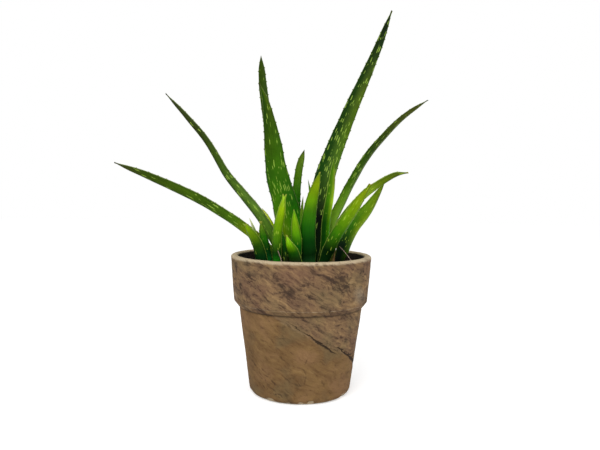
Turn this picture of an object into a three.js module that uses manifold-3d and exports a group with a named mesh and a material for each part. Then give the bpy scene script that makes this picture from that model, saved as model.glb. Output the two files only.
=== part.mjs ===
// A young spotted aloe with offsets, standing in a clay flower pot.
// Millimetres, +Z up. The origin is the centre of the pot's foot, on the surface that the pot stands on.
// +X is to the right and -Y is towards the front, where most of the offsets grow.

import * as THREE from 'three';
import { mergeVertices } from 'three/addons/utils/BufferGeometryUtils.js';
import Module from 'manifold-3d';

const wasm = await Module();
wasm.setup();

// Driving dimensions of the pot.
const potHeight = 137;
const rimRadius = 70;
const rimInnerRadius = 63;
const footRadius = 51;
const footRounding = 6;
const lipRounding = 2;
const collarFootRadius = 66.8;
const collarFootHeight = 91;
const wallTopRadius = 61.5;
const wallTopHeight = 85.5;
const floorThickness = 8;
const wallSlope = 0.138;

const drainHoleCount = 3;
const drainHoleRadius = 4.5;
const drainHoleOffset = 24;
const drainHoleSides = 16;

// Driving dimensions of what fills it.
const soilHeight = 124;
const soilMound = 1.5;
const soilMoundRadius = 38;
const gap = 0.4;
const stemDepth = 14;
const strawRadius = 0.6;

const potSides = 56;
const stemSides = 10;

// Finishes.
const paint = (colour, roughness) => new THREE.MeshStandardMaterial({ color: colour, roughness, metalness: 0 });
const clay = paint('#8a6f52', 0.9);
const peat = paint('#1f1812', 1);
const stemSkin = paint('#6f7f3a', 0.7);
const matureLeaf = paint('#2f6b14', 0.45);
const youngLeaf = paint('#6c9a10', 0.45);
const driedLeaf = paint('#8d7044', 0.9);
const straw = paint('#c9a98c', 0.9);

const plant = new THREE.Group();

function add(name, geometry, material) {
  const mesh = new THREE.Mesh(geometry, material);
  mesh.name = name;
  plant.add(mesh);
  return mesh;
}

// ---------------------------------------------------------------------------------------------------------
// Booleans
// ---------------------------------------------------------------------------------------------------------

function toSolid(geometry) {
  const bare = geometry.clone();
  bare.deleteAttribute('normal');
  bare.deleteAttribute('uv');
  const merged = mergeVertices(bare, 1e-4);
  return new wasm.Manifold(new wasm.Mesh({
    numProp: 3,
    vertProperties: new Float32Array(merged.attributes.position.array),
    triVerts: new Uint32Array(merged.index.array),
  }));
}

function toGeometry(solid) {
  const mesh = solid.getMesh();
  const geometry = new THREE.BufferGeometry();
  geometry.setAttribute('position', new THREE.BufferAttribute(new Float32Array(mesh.vertProperties), 3));
  geometry.setIndex(new THREE.BufferAttribute(new Uint32Array(mesh.triVerts), 1));
  return geometry;
}

// An upright cylinder from its lower to its upper height.
function uprightCylinder(radius, x, y, low, high, sides) {
  const geometry = new THREE.CylinderGeometry(radius, radius, high - low, sides);
  geometry.rotateX(Math.PI / 2);
  geometry.translate(x, y, (low + high) / 2);
  return geometry;
}

// A lathe turned about Z: the profile is a list of [radius, height] from the axis below to the axis above.
function turned(profile, sides) {
  const points = profile.map(([radius, height]) => new THREE.Vector2(radius, height));
  const geometry = new THREE.LatheGeometry(points, sides);
  geometry.rotateX(Math.PI / 2);
  return geometry;
}

// Points on a rounded corner of the profile, from one angle to another about its centre, in degrees.
function roundedCorner(centreRadius, centreHeight, rounding, from, to, steps) {
  return Array.from({ length: steps + 1 }, (_, i) => {
    const angle = THREE.MathUtils.degToRad(THREE.MathUtils.lerp(from, to, i / steps));
    return [centreRadius + rounding * Math.cos(angle), centreHeight + rounding * Math.sin(angle)];
  });
}

// ---------------------------------------------------------------------------------------------------------
// Pot: one fired piece, with a tapered wall, an upright collar bevelled below, and a rounded lip
// ---------------------------------------------------------------------------------------------------------

const innerRadiusAt = (height) => rimInnerRadius - wallSlope * (potHeight - height);

const potProfile = [
  [0, 0],
  ...roundedCorner(footRadius - footRounding, footRounding, footRounding, -90, 0, 4),
  [wallTopRadius, wallTopHeight],
  ...roundedCorner(collarFootRadius - lipRounding, collarFootHeight + lipRounding, lipRounding, -45, 0, 2),
  ...roundedCorner(rimRadius - lipRounding, potHeight - lipRounding, lipRounding, 0, 90, 3),
  ...roundedCorner(rimInnerRadius + lipRounding, potHeight - lipRounding, lipRounding, 90, 180, 3),
  [innerRadiusAt(floorThickness + footRounding), floorThickness + footRounding],
  [innerRadiusAt(floorThickness) - footRounding, floorThickness],
  [0, floorThickness],
];

const drainHoles = Array.from({ length: drainHoleCount }, (_, i) => {
  const angle = Math.PI / 2 + (i * 2 * Math.PI) / drainHoleCount;
  const x = drainHoleOffset * Math.cos(angle);
  const y = drainHoleOffset * Math.sin(angle);
  return toSolid(uprightCylinder(drainHoleRadius, x, y, -floorThickness, 2 * floorThickness, drainHoleSides));
});

const potBody = toSolid(turned(potProfile, potSides));
add('pot', toGeometry(drainHoles.reduce((body, hole) => body.subtract(hole), potBody)), clay);

// ---------------------------------------------------------------------------------------------------------
// Stems: the short stem of each rosette, standing in the soil with its leaves around it
// ---------------------------------------------------------------------------------------------------------

const stems = [
  { name: 'main_stem', x: -3, y: 19, radius: 4.5, top: 134 },
  { name: 'left_pup_stem', x: -36, y: -20, radius: 2.2, top: 130 },
  { name: 'centre_pup_stem', x: -19, y: -27, radius: 2, top: 130 },
  { name: 'front_pup_stem', x: 1.5, y: -32, radius: 2, top: 131 },
  { name: 'right_pup_stem', x: 22, y: -12, radius: 2.2, top: 131 },
];

for (const { name, x, y, radius, top } of stems) {
  add(name, uprightCylinder(radius, x, y, soilHeight - stemDepth, top, stemSides), stemSkin);
}

// ---------------------------------------------------------------------------------------------------------
// Soil: fills the pot to a little below the rim, slightly mounded, with a socket for each stem
// ---------------------------------------------------------------------------------------------------------

const soilFloor = floorThickness + gap;
const soilProfile = [
  [0, soilFloor],
  [innerRadiusAt(floorThickness) - footRounding - gap, soilFloor],
  [innerRadiusAt(floorThickness + footRounding) - 2 * gap, floorThickness + footRounding],
  [innerRadiusAt(soilHeight) - 2 * gap, soilHeight],
  [soilMoundRadius, soilHeight + soilMound],
  [0, soilHeight + soilMound],
];

const sockets = stems.map(({ x, y, radius }) => {
  const low = soilHeight - stemDepth - gap;
  return toSolid(uprightCylinder(radius + gap, x, y, low, potHeight, stemSides));
});
const soilBody = toSolid(turned(soilProfile, potSides));
add('soil', toGeometry(sockets.reduce((body, socket) => body.subtract(socket), soilBody)), peat);

// ---------------------------------------------------------------------------------------------------------
// Leaves: each is a loft along a curved route, with a channelled upper face and a convex keel below
// ---------------------------------------------------------------------------------------------------------

// The section's corners as [share of the half width, share of the thickness towards the keel], from one
// margin across the channelled upper face and back round the keel.
const leafSection = [
  [1, -0.25],
  [0.55, 0],
  [0, 0.12],
  [-0.55, 0],
  [-1, -0.25],
  [-0.62, 0.5],
  [0, 0.88],
  [0.62, 0.5],
];

const footShare = 0.62;
const footLength = 0.16;

// Share of the full size at a place along the leaf: a narrower foot, an even taper, then a rounded point.
function shareAt(along, taper, belly) {
  const foot = THREE.MathUtils.lerp(footShare, 1, THREE.MathUtils.smoothstep(along, 0, footLength));
  return foot * (1 - taper * along) * (1 - along ** belly);
}

// A closed loft. `route` runs from the foot to the tip, and `keel` is the compass direction in degrees that
// the underside faces. `taper` is the share of the size lost evenly by the tip, and a larger `belly` keeps
// the rest further up the leaf, for a blunter point.
function leafGeometry({ route, width, thickness, keel, taper = 0, belly = 1.3, steps = 12 }) {
  const points = route.map((point) => new THREE.Vector3(...point));
  const curve = new THREE.CatmullRomCurve3(points, false, 'centripetal');
  const keelAngle = THREE.MathUtils.degToRad(keel);
  const underside = new THREE.Vector3(Math.cos(keelAngle), Math.sin(keelAngle), 0);
  const corners = leafSection.length;
  const positions = [];
  for (let i = 0; i < steps; i += 1) {
    const along = i / steps;
    const centre = curve.getPointAt(along);
    const tangent = curve.getTangentAt(along);
    const side = new THREE.Vector3().crossVectors(underside, tangent).normalize();
    const outward = new THREE.Vector3().crossVectors(tangent, side);
    const share = shareAt(along, taper, belly);
    const halfWidth = (width / 2) * share;
    const depth = thickness * share;
    for (const [across, through] of leafSection) {
      const point = centre.clone();
      point.addScaledVector(side, across * halfWidth);
      point.addScaledVector(outward, through * depth);
      positions.push(...point.toArray());
    }
  }
  const tip = positions.length / 3;
  positions.push(...curve.getPointAt(1).toArray());
  const foot = tip + 1;
  positions.push(...curve.getPointAt(0).toArray());
  const faces = [];
  for (let j = 0; j < corners; j += 1) {
    const next = (j + 1) % corners;
    faces.push(foot, j, next);
    for (let i = 0; i < steps - 1; i += 1) {
      const low = i * corners;
      const high = low + corners;
      faces.push(low + j, high + next, low + next);
      faces.push(low + j, high + j, high + next);
    }
    const last = (steps - 1) * corners;
    faces.push(last + j, tip, last + next);
  }
  const geometry = new THREE.BufferGeometry();
  geometry.setAttribute('position', new THREE.Float32BufferAttribute(positions, 3));
  geometry.setIndex(faces);
  return geometry;
}

// Main rosette: long mature leaves around the main stem, and small young ones at its heart.
const mainLeaves = [
  {
    name: 'leaf_far_left', width: 18.5, thickness: 6, keel: 212, taper: 0.5, belly: 12, steps: 14,
    route: [[-20, 5, 129], [-50, -5, 158], [-89.5, -16, 185.5], [-133, -26, 207], [-176, -38, 225]],
  },
  {
    name: 'leaf_upper_left', width: 17.5, thickness: 6.5, keel: 210, taper: 0.66, belly: 14, steps: 14,
    route: [[-17, 17, 128], [-41, 20, 171], [-75, 32, 211], [-106, 43, 257], [-150, 58, 304]],
  },
  {
    name: 'leaf_tall_left', width: 27, thickness: 6, keel: 268, belly: 2.5, steps: 14,
    route: [[-7, 6, 127], [-14, 6, 176], [-24, 2, 211], [-31, -4, 255], [-37, -11, 288], [-43, -16, 304]],
  },
  {
    name: 'leaf_tall_back', width: 14.5, thickness: 5, keel: 100, taper: 0.45, belly: 22, steps: 14,
    route: [[-11, 28, 127], [-25, 36, 212], [-36.5, 50, 265], [-45.5, 66, 324], [-47.5, 74, 350]],
  },
  {
    name: 'leaf_tallest_right', width: 28.5, thickness: 7, keel: 75, taper: 0.81, belly: 20, steps: 16,
    route: [[7, 11, 127], [24, 22, 216], [49, 36, 283], [78.2, 53, 352], [94.6, 64, 397]],
  },
  {
    name: 'leaf_arching_right', width: 16.5, thickness: 5.5, keel: 35, taper: 0.57, belly: 16, steps: 14,
    route: [[14, 20, 127], [43, 28, 193], [70, 41, 240], [108, 56, 281], [137, 66, 302]],
  },
  {
    name: 'leaf_young_back', width: 10.2, thickness: 4, keel: 90, taper: 0.25, belly: 16,
    route: [[-5, 37, 127], [-6, 44, 185], [-4, 54, 222], [2, 62, 246]],
  },
  {
    name: 'leaf_heart', width: 6, thickness: 3, keel: 250, taper: 0.5, belly: 8,
    route: [[1, -3, 127], [0, -4, 165], [0, -5, 182], [1, -6, 196]],
  },
  {
    name: 'leaf_heart_back', width: 6, thickness: 3, keel: 90, taper: 0.5, belly: 8,
    route: [[5, 28, 127], [10, 32, 170], [9, 34, 195], [6, 36, 213]],
  },
  {
    name: 'leaf_hidden_left', width: 14, thickness: 5, keel: 130, taper: 0.5, belly: 8,
    route: [[-18, 35, 128], [-22, 50, 152], [-27, 68, 170], [-33, 88, 180]],
  },
  {
    name: 'leaf_hidden_back', width: 14, thickness: 5, keel: 80, taper: 0.5, belly: 8,
    route: [[6, 38, 128], [12, 54, 150], [18, 76, 170], [24, 100, 182]],
  },
];

// Left pup: four short leaves, and an olive one behind them that grows from the main rosette's foot.
const leftPupLeaves = [
  {
    name: 'left_pup_front', width: 13, thickness: 4, keel: 250, taper: 0.2, belly: 5,
    route: [[-37, -26, 127], [-42, -32, 148], [-48, -37, 161], [-53, -41, 170]],
  },
  {
    name: 'left_pup_left', width: 9, thickness: 3.5, keel: 200, taper: 0.4, belly: 7,
    route: [[-41, -18, 127], [-43, -16, 152], [-46.5, -16, 164], [-51, -17, 174]],
  },
  {
    name: 'left_pup_right', width: 10, thickness: 3.5, keel: 290, taper: 0.2, belly: 6,
    route: [[-31, -24, 127], [-34, -25, 146], [-37, -26, 160], [-39, -27, 171]],
  },
  {
    name: 'left_pup_back', width: 9, thickness: 3.5, keel: 90, taper: 0.4, belly: 6,
    route: [[-35, -15, 127], [-35, -14, 144], [-36, -14, 154], [-36, -15, 160]],
  },
  {
    name: 'leaf_olive', width: 10, thickness: 3.5, keel: 130, taper: 0.5, belly: 8,
    route: [[-24, 26, 128], [-30, 34, 158], [-36, 38, 171], [-43, 40, 182]],
  },
];

// Centre-left pup: one bright leaf with a short dark one beside it.
const centrePupLeaves = [
  {
    name: 'centre_pup_bright', width: 9.5, thickness: 4, keel: 260, belly: 6,
    route: [[-23, -34, 127], [-23, -37, 160], [-19, -42, 182], [-16, -46, 198]],
  },
  {
    name: 'centre_pup_dark', width: 9, thickness: 3, keel: 280, taper: 0.4, belly: 6,
    route: [[-14, -31, 127], [-16, -32, 143], [-18, -33, 155], [-19, -34, 165]],
  },
];

// Front pup: a stubby leaf, a pointed leaf and a smooth upright leaf.
const frontPupLeaves = [
  {
    name: 'front_pup_stubby', width: 13, thickness: 4, keel: 245, belly: 3,
    route: [[-3.5, -41, 127], [-8, -46, 145], [-11.5, -50.5, 153], [-13.5, -54, 160]],
  },
  {
    name: 'front_pup_pointed', width: 11, thickness: 4, keel: 265, belly: 3.5,
    route: [[-6.5, -34.5, 127], [-5, -37, 155], [-6.5, -40, 170], [-7.5, -42.5, 184]],
  },
  {
    name: 'front_pup_smooth', width: 20, thickness: 5, keel: 280, taper: 0.6, belly: 9,
    route: [[6.6, -26.6, 127], [5.5, -32, 156], [8.5, -36.5, 188], [16.5, -41, 219]],
  },
];

// Right pup: a narrow upright leaf, one that arches over at its end, a blunt one and a broad one.
const rightPupLeaves = [
  {
    name: 'right_pup_upright', width: 9.8, thickness: 4, keel: 300, belly: 6,
    route: [[22, -4, 127], [25.5, -7, 177], [29, -10, 207], [30.3, -12, 233]],
  },
  {
    name: 'right_pup_arching', width: 12.8, thickness: 5, keel: 320, taper: 0.36, belly: 10,
    route: [[26, -12, 127], [36, -18, 167], [60, -27, 198], [87.5, -35, 217], [99, -38, 219]],
  },
  {
    name: 'right_pup_blunt', width: 13, thickness: 4.5, keel: 290, belly: 5,
    route: [[20, -19, 127], [31, -27, 154], [48, -36, 183], [64.5, -43, 209.5]],
  },
  {
    name: 'right_pup_broad', width: 22, thickness: 5, keel: 320, taper: 0.22, belly: 4,
    route: [[37, 2, 128], [52.5, 8, 164], [69, 15, 184], [86, 24, 212]],
  },
];

const matureNames = new Set(mainLeaves.map((leaf) => leaf.name));
for (const leaf of [...mainLeaves, ...leftPupLeaves, ...centrePupLeaves, ...frontPupLeaves, ...rightPupLeaves]) {
  add(leaf.name, leafGeometry(leaf), matureNames.has(leaf.name) ? matureLeaf : youngLeaf);
}

// ---------------------------------------------------------------------------------------------------------
// Dried remains lying on the soil
// ---------------------------------------------------------------------------------------------------------

add('dried_leaf', leafGeometry({
  width: 6, thickness: 2, keel: 300, belly: 1.8, steps: 8,
  route: [[31, -6, 127], [32, -7, 140], [34, -8, 149], [37, -9, 156]],
}), driedLeaf);

// A dry straw is a thin round stalk swept along its route.
function strawGeometry(route) {
  const curve = new THREE.CatmullRomCurve3(route.map((point) => new THREE.Vector3(...point)));
  const section = new THREE.Shape().absarc(0, 0, strawRadius, 0, 2 * Math.PI);
  return new THREE.ExtrudeGeometry(section, {
    extrudePath: curve, steps: 10, curveSegments: 4, bevelEnabled: false,
  });
}

add('dry_straw_right', strawGeometry([[37, -13, 147], [44, -17, 141], [50, -21, 134], [53, -24, 127]]), straw);
add('dry_straw_left', strawGeometry([[-22, -42, 145], [-19, -43, 138], [-17, -45, 132], [-16, -46, 127]]), straw);

export default plant;
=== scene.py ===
# A young spotted aloe with its offsets, growing in an old marbled clay pot.
# Metres, +Z up. The origin is the centre of the pot's foot, +X is right and -Y is the front.

import math
import random

import bmesh
import bpy
import numpy as np
from mathutils import Matrix, Vector, noise


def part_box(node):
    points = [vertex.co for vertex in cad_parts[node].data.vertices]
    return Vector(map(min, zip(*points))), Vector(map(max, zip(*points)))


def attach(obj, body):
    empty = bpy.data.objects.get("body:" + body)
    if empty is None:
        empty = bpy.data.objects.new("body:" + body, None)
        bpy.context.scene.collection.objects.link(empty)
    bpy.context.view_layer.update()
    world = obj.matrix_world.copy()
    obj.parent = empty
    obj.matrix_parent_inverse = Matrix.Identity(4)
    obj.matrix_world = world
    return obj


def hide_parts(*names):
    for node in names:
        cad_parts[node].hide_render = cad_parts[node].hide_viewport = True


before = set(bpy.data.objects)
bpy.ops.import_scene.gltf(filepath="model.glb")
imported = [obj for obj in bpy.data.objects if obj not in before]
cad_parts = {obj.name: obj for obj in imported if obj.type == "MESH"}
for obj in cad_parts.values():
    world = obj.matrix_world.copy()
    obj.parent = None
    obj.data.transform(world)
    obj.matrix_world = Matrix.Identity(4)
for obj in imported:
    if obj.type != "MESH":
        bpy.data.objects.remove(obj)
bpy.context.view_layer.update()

# ----------------------------------------------------------------------------------------------------------
# Pot. A flower pot turned on the wheel from two clays that were barely mixed, and fired without a glaze: an
# upright collar on a tapered wall, and three drain holes. The turning drew the clays out into slanting
# streaks, and a crack opened where the grey band meets the brown one.
# ----------------------------------------------------------------------------------------------------------

mm = 0.001
pot_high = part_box("pot")[1]
rim_radius = pot_high.x
pot_height = pot_high.z
rim_inner_radius = rim_radius - 7 * mm
wall_slope = 0.138
lip_rounding = 2 * mm
foot_radius = 51 * mm
foot_rounding = 6 * mm
wall_top_radius = 61.5 * mm
wall_top_height = 85.5 * mm
collar_foot_radius = 66.8 * mm
collar_foot_height = 91 * mm
floor_thickness = 8 * mm
soil_line = 124 * mm
fine_cell = 1.15 * mm
coarse_cell = 8 * mm
pot_sides = 360

drain_hole_radius = 4.5 * mm
drain_hole_offset = 24 * mm
drain_hole_count = 3


def inner_radius(height):
    """Radius of the pot's inside at a height."""
    return rim_inner_radius - wall_slope * (pot_height - height)


def corner(radius, height, rounding, start, end, steps=4):
    """A rounded corner of a turned profile as (radius, height) points, between two angles in degrees."""
    angles = [math.radians(start + (end - start) * step / steps) for step in range(steps + 1)]
    return [(radius + rounding * math.cos(a), height + rounding * math.sin(a)) for a in angles]


def turned(stretches, sides):
    """A solid turned about Z. Each stretch of the profile is its points and the longest cell along it."""
    bm = bmesh.new()
    last = None
    for points, cell in stretches:
        for radius, height in points:
            target = Vector((radius, 0, height))
            steps = 1 + int((target - last.co).length / cell) if last else 1
            start = last.co.copy() if last else target
            for step in range(1, steps + 1):
                vert = bm.verts.new(start.lerp(target, step / steps))
                if last:
                    bm.edges.new((last, vert))
                last = vert
    outline = bm.verts[:] + bm.edges[:]
    bmesh.ops.spin(
        bm, geom=outline, axis=(0, 0, 1), cent=(0, 0, 0), angle=math.tau, steps=sides, use_merge=True,
    )
    bmesh.ops.remove_doubles(bm, verts=bm.verts, dist=0.01 * mm)
    bmesh.ops.recalc_face_normals(bm, faces=bm.faces)
    return bm


def finished(name, bm, material, slot, *replaced):
    """The bmesh as a smooth piece of the potted plant, standing for the CAD nodes it replaces."""
    mesh = bpy.data.meshes.new(name)
    bm.to_mesh(mesh)
    bm.free()
    mesh.shade_smooth()
    mesh.materials.append(material)
    piece = bpy.data.objects.new(name, mesh)
    bpy.context.scene.collection.objects.link(piece)
    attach(piece, "root")
    if replaced:
        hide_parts(*replaced)
    return piece


def store(mesh, name, kind, values):
    """Keeps one value for each vertex under a name that a material can read."""
    attribute = mesh.attributes.new(name, kind, "POINT")
    field = {"FLOAT": "value", "FLOAT_VECTOR": "vector", "FLOAT_COLOR": "color"}[kind]
    attribute.data.foreach_set(field, np.asarray(values, np.float32).ravel())


def corners_of(mesh):
    """The places of a mesh's vertices, one row each."""
    places = np.empty(len(mesh.vertices) * 3, np.float32)
    mesh.vertices.foreach_get("co", places)
    return places.reshape(-1, 3).astype(float)


def linear(code):
    """An sRGB hex colour as linear RGBA."""
    shares = [int(code[i:i + 2], 16) / 255 for i in (1, 3, 5)]
    return [s / 12.92 if s <= 0.04045 else ((s + 0.055) / 1.055) ** 2.4 for s in shares] + [1.0]


def add(tree, kind, inputs=(), take=None, stops=(), **settings):
    """Adds a shader node with its settings and links, and gives the output named, or else the first one."""
    made = tree.nodes.new("ShaderNode" + kind)
    for name, value in settings.items():
        setattr(made, name, value)
    for i, (place, colour) in enumerate(stops):
        ramp = made.color_ramp.elements
        stop = ramp[i] if i < 2 else ramp.new(place)
        stop.position = place
        stop.color = linear(colour) if isinstance(colour, str) else (colour, colour, colour, 1)
    for name, value in dict(inputs).items():
        if isinstance(name, int):
            socket = made.inputs[name]
        else:
            socket = next(s for s in made.inputs if s.name == name and s.enabled)
        if isinstance(value, bpy.types.NodeSocket):
            tree.links.new(value, socket)
        else:
            socket.default_value = linear(value) if isinstance(value, str) else value
    return made.outputs[take] if take else next((s for s in made.outputs if s.enabled), None)


def new_material(name):
    """An empty node material, and its tree."""
    material = bpy.data.materials.new(name)
    material.use_nodes = True
    material.node_tree.nodes.clear()
    return material, material.node_tree


# Where the marks on the pot are: angles in degrees from the front towards the right, heights in millimetres.
# The layers of clay lie one way through the whole pot, tilted down to the right, so every streak slants.
layer_tilt = 30
seam_height = 70
# The crack in two stretches, each a list of (angle, height, how far it has opened).
crack_stretches = [
    [(-14, 84, 0.0), (-8, 79, 0.5), (3, 72, 0.7), (12, 65.5, 1.2), (24, 56.5, 1.5), (33, 50.5, 1.1),
     (40, 47, 0.0)],
    [(30, 58, 0.0), (39, 54.5, 0.9), (50, 47, 1.3), (62, 39.5, 1.1), (74, 34, 2.6), (82, 29, 2.4),
     (88, 27, 0.0)],
]
scratches = [
    [(4, 36), (6, 31)],
    [(6, 28), (5, 22)],
    [(7, 46), (5, 41)],
    [(23, 24), (26, 18)],
    [(-37, 27), (-26, 20)],
    [(-18, 29), (-8, 22), (2, 19)],
    [(-44, 121), (-38, 113)],
    [(-52, 131.5), (-30, 131), (-4, 131.5)],
]
# Dark stains where one clay shows through: angle, height, half length, half width, strength.
stains = [
    (-42, 117, 15, 5, 0.5),
    (-11, 110, 13, 6, 0.9),
    (8, 106, 12, 4, 0.5),
    (31, 119, 19, 9, 0.95),
    (62, 119, 8, 6, 0.55),
    (-12, 95, 16, 2.5, 0.55),
    (-52, 97, 15, 3, 0.5),
    (-34, 18, 20, 7, 0.4),
    (66, 40, 12, 4, 0.7),
    (118, 112, 18, 8, 0.8),
    (165, 100, 20, 6, 0.6),
    (205, 118, 16, 8, 0.8),
    (250, 104, 20, 7, 0.7),
    (290, 120, 14, 5, 0.6),
    (180, 30, 20, 6, 0.5),
    (225, 55, 22, 6, 0.5),
]
# Pale, chalky patches in the same terms.
pale_patches = [(58, 101, 16, 9, 0.8), (-68, 100, 9, 16, 0.5), (72, 118, 6, 18, 0.4), (150, 60, 24, 8, 0.5)]


def turned_by(angles, centre):
    """Angles measured from a centre, kept within half a turn."""
    return (np.asarray(angles) - centre + 180) % 360 - 180


def distance_to(route, angles, heights):
    """Millimetres over the pot's wall from each vertex to a route of (angle, height) points."""
    mid = sum(angle for angle, _ in route) / len(route)
    around = math.radians(1) * 60
    points = np.stack([turned_by(angles, mid) * around, heights], 1)
    marks = [np.array([turned_by(angle, mid) * around, height]) for angle, height in route]
    nearest = np.full(len(points), 99.0)
    for a, b in zip(marks, marks[1:]):
        share = np.clip((points - a) @ (b - a) / ((b - a) @ (b - a)), 0, 1)
        nearest = np.minimum(nearest, np.linalg.norm(points - a - share[:, None] * (b - a), axis=1))
    return nearest


def soft_patch(patches, angles, heights):
    """Strength from 0 to 1 of slanting oval patches at each vertex."""
    slant = math.radians(30)
    strength = np.zeros(len(angles))
    for angle, height, half_length, half_width, most in patches:
        right = turned_by(angles, angle) * math.radians(1) * 64
        up = heights - height
        lengthwise = right * math.cos(slant) - up * math.sin(slant)
        across = right * math.sin(slant) + up * math.cos(slant)
        falloff = -(lengthwise / half_length) ** 2 - (across / half_width) ** 2
        strength = np.maximum(strength, most * np.exp(falloff))
    return strength


def signed_offset(stretch, angles, heights):
    """Millimetres that each vertex lies above a stretch of the crack, and how far the crack is open there."""
    along, level, opening = (np.array(column, float) for column in zip(*stretch))
    offset = (heights - np.interp(angles, along, level)) * math.cos(math.radians(layer_tilt))
    return offset, np.interp(angles, along, opening, left=0, right=0)


outside = (
    [(0, 0), (20 * mm, 0), (40 * mm, 0)],
    corner(foot_radius - foot_rounding, foot_rounding, foot_rounding, -90, 0, 8)
    + [(wall_top_radius, wall_top_height)]
    + corner(collar_foot_radius - lip_rounding, collar_foot_height + lip_rounding, lip_rounding, -45, 0, 3)
    + corner(rim_radius - lip_rounding, pot_height - lip_rounding, lip_rounding, 0, 90, 5)
    + corner(rim_inner_radius + lip_rounding, pot_height - lip_rounding, lip_rounding, 90, 180, 5)
    + [(inner_radius(soil_line), soil_line)],
    [
        (inner_radius(floor_thickness + foot_rounding), floor_thickness + foot_rounding),
        (inner_radius(floor_thickness) - foot_rounding, floor_thickness),
        (0, floor_thickness),
    ],
)
pot_bm = turned(list(zip(outside, (coarse_cell, fine_cell, coarse_cell))), pot_sides)

# Marbled, unglazed fired clay: dry and matt, in slanting layers of brown, grey and ochre, with dark stains,
# pores and a chalky bloom. Below the seam the clay is one even ochre brown.
clay, tree = new_material("marbled_fired_clay")
place = add(tree, "TexCoord", take="Object")
layered = add(tree, "VectorRotate", {"Vector": place, "Angle": math.radians(-layer_tilt)},
              rotation_type="Y_AXIS")
waver = add(tree, "TexNoise", {"Vector": place, "Scale": 1 / (16 * mm), "Detail": 3}, "Color")
waver = add(tree, "VectorMath", {0: waver, 1: (0.5, 0.5, 0.5)}, operation="SUBTRACT")
waver = add(tree, "VectorMath", {0: waver, "Scale": 9 * mm}, operation="SCALE")
layered = add(tree, "VectorMath", {0: layered, 1: (0.3, 0.36, 1)}, operation="MULTIPLY")
layered = add(tree, "VectorMath", {0: layered, 1: waver}, operation="ADD")
streaks = add(tree, "TexNoise", {"Vector": layered, "Scale": 1 / (7 * mm), "Detail": 5, "Roughness": 0.6})
wrinkles = add(tree, "TexNoise", {"Vector": layered, "Scale": 1 / (2.3 * mm), "Detail": 4, "Roughness": 0.6})
clouds = add(tree, "TexNoise", {"Vector": place, "Scale": 1 / (30 * mm), "Detail": 3})
grain = add(tree, "TexNoise", {"Vector": place, "Scale": 1 / (0.9 * mm), "Detail": 3, "Roughness": 0.7})
mixed = add(tree, "Mix", {"Factor": 0.4, "A": streaks, "B": wrinkles})
mixed = add(tree, "Mix", {"Factor": 0.12, "A": mixed, "B": grain})
marbled = add(tree, "ValToRGB", {"Fac": mixed}, "Color", stops=[
    (0.33, "#2e231b"), (0.41, "#4a382a"), (0.47, "#67503b"), (0.54, "#7c6245"), (0.61, "#907450"),
    (0.70, "#a28a6a"),
])
smooth = add(tree, "Mix", {"Factor": 0.3, "A": clouds, "B": mixed})
brown = add(tree, "ValToRGB", {"Fac": smooth}, "Color", stops=[
    (0.34, "#543c22"), (0.46, "#6a4e2c"), (0.56, "#775b32"), (0.68, "#8a6b3d"),
])
above_seam = add(tree, "Attribute", take="Fac", attribute_name="above_seam")
ragged = add(tree, "Math", {0: wrinkles, 1: 9.0, 2: above_seam}, operation="MULTIPLY_ADD")
upper_share = add(tree, "MapRange", {"Value": ragged, "From Min": 3.6, "From Max": 6.4},
                  interpolation_type="SMOOTHSTEP")
marbled_share = add(tree, "MapRange", {"Value": upper_share, "To Min": 0.32})
body = add(tree, "Mix", {"Factor": marbled_share, "A": brown, "B": marbled}, data_type="RGBA")
rosy_share = add(tree, "MapRange", {"Value": clouds, "From Min": 0.52, "From Max": 0.68, "To Max": 0.4})
body = add(tree, "Mix", {"Factor": rosy_share, "A": body, "B": "#795844"}, data_type="RGBA")
olive_share = add(tree, "MapRange", {"Value": clouds, "From Min": 0.48, "From Max": 0.34, "To Max": 0.35})
body = add(tree, "Mix", {"Factor": olive_share, "A": body, "B": "#756645"}, data_type="RGBA")
pale = add(tree, "Attribute", take="Fac", attribute_name="pale_patch")
pale_share = add(tree, "Math", {0: pale, 1: streaks}, operation="MULTIPLY")
pale_share = add(tree, "MapRange", {"Value": pale_share, "From Min": 0.14, "From Max": 0.6, "To Max": 0.8})
body = add(tree, "Mix", {"Factor": pale_share, "A": body, "B": "#908571"}, data_type="RGBA")
# Each stain is a cluster of dark wrinkles that runs together in the middle.
stain = add(tree, "Attribute", take="Fac", attribute_name="stain")
stain_edge = add(tree, "Math", {0: wrinkles, 1: -3.2, 2: stain}, operation="MULTIPLY_ADD")
stain_share = add(tree, "MapRange", {"Value": stain_edge, "From Min": -1.3, "From Max": -0.6, "To Max": 0.72})
body = add(tree, "Mix", {"Factor": stain_share, "A": body, "B": "#30251d"}, data_type="RGBA")
offset = add(tree, "Attribute", take="Fac", attribute_name="crack_offset")
opening = add(tree, "Attribute", take="Fac", attribute_name="crack_opening")
frayed = add(tree, "Math", {0: wrinkles, 1: 6.5, 2: offset}, operation="MULTIPLY_ADD")
frayed = add(tree, "Math", {0: frayed, 1: 3.25}, operation="SUBTRACT")
frayed = add(tree, "Math", {0: frayed}, operation="ABSOLUTE")
crack_depth_here = add(tree, "Math", {0: opening, 1: frayed}, operation="SUBTRACT")
crack_share = add(tree, "MapRange", {
    "Value": crack_depth_here, "From Min": 0.0, "From Max": 0.5, "To Max": 0.92,
})
body = add(tree, "Mix", {"Factor": crack_share, "A": body, "B": "#2b2017"}, data_type="RGBA")
scratch = add(tree, "Attribute", take="Fac", attribute_name="scratch")
scratch_edge = add(tree, "Math", {0: wrinkles, 1: -2.0, 2: scratch}, operation="MULTIPLY_ADD")
scratch_share = add(tree, "MapRange", {
    "Value": scratch_edge, "From Min": -0.65, "From Max": -0.1, "To Max": 0.45,
})
body = add(tree, "Mix", {"Factor": scratch_share, "A": body, "B": "#423020"}, data_type="RGBA")
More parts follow.
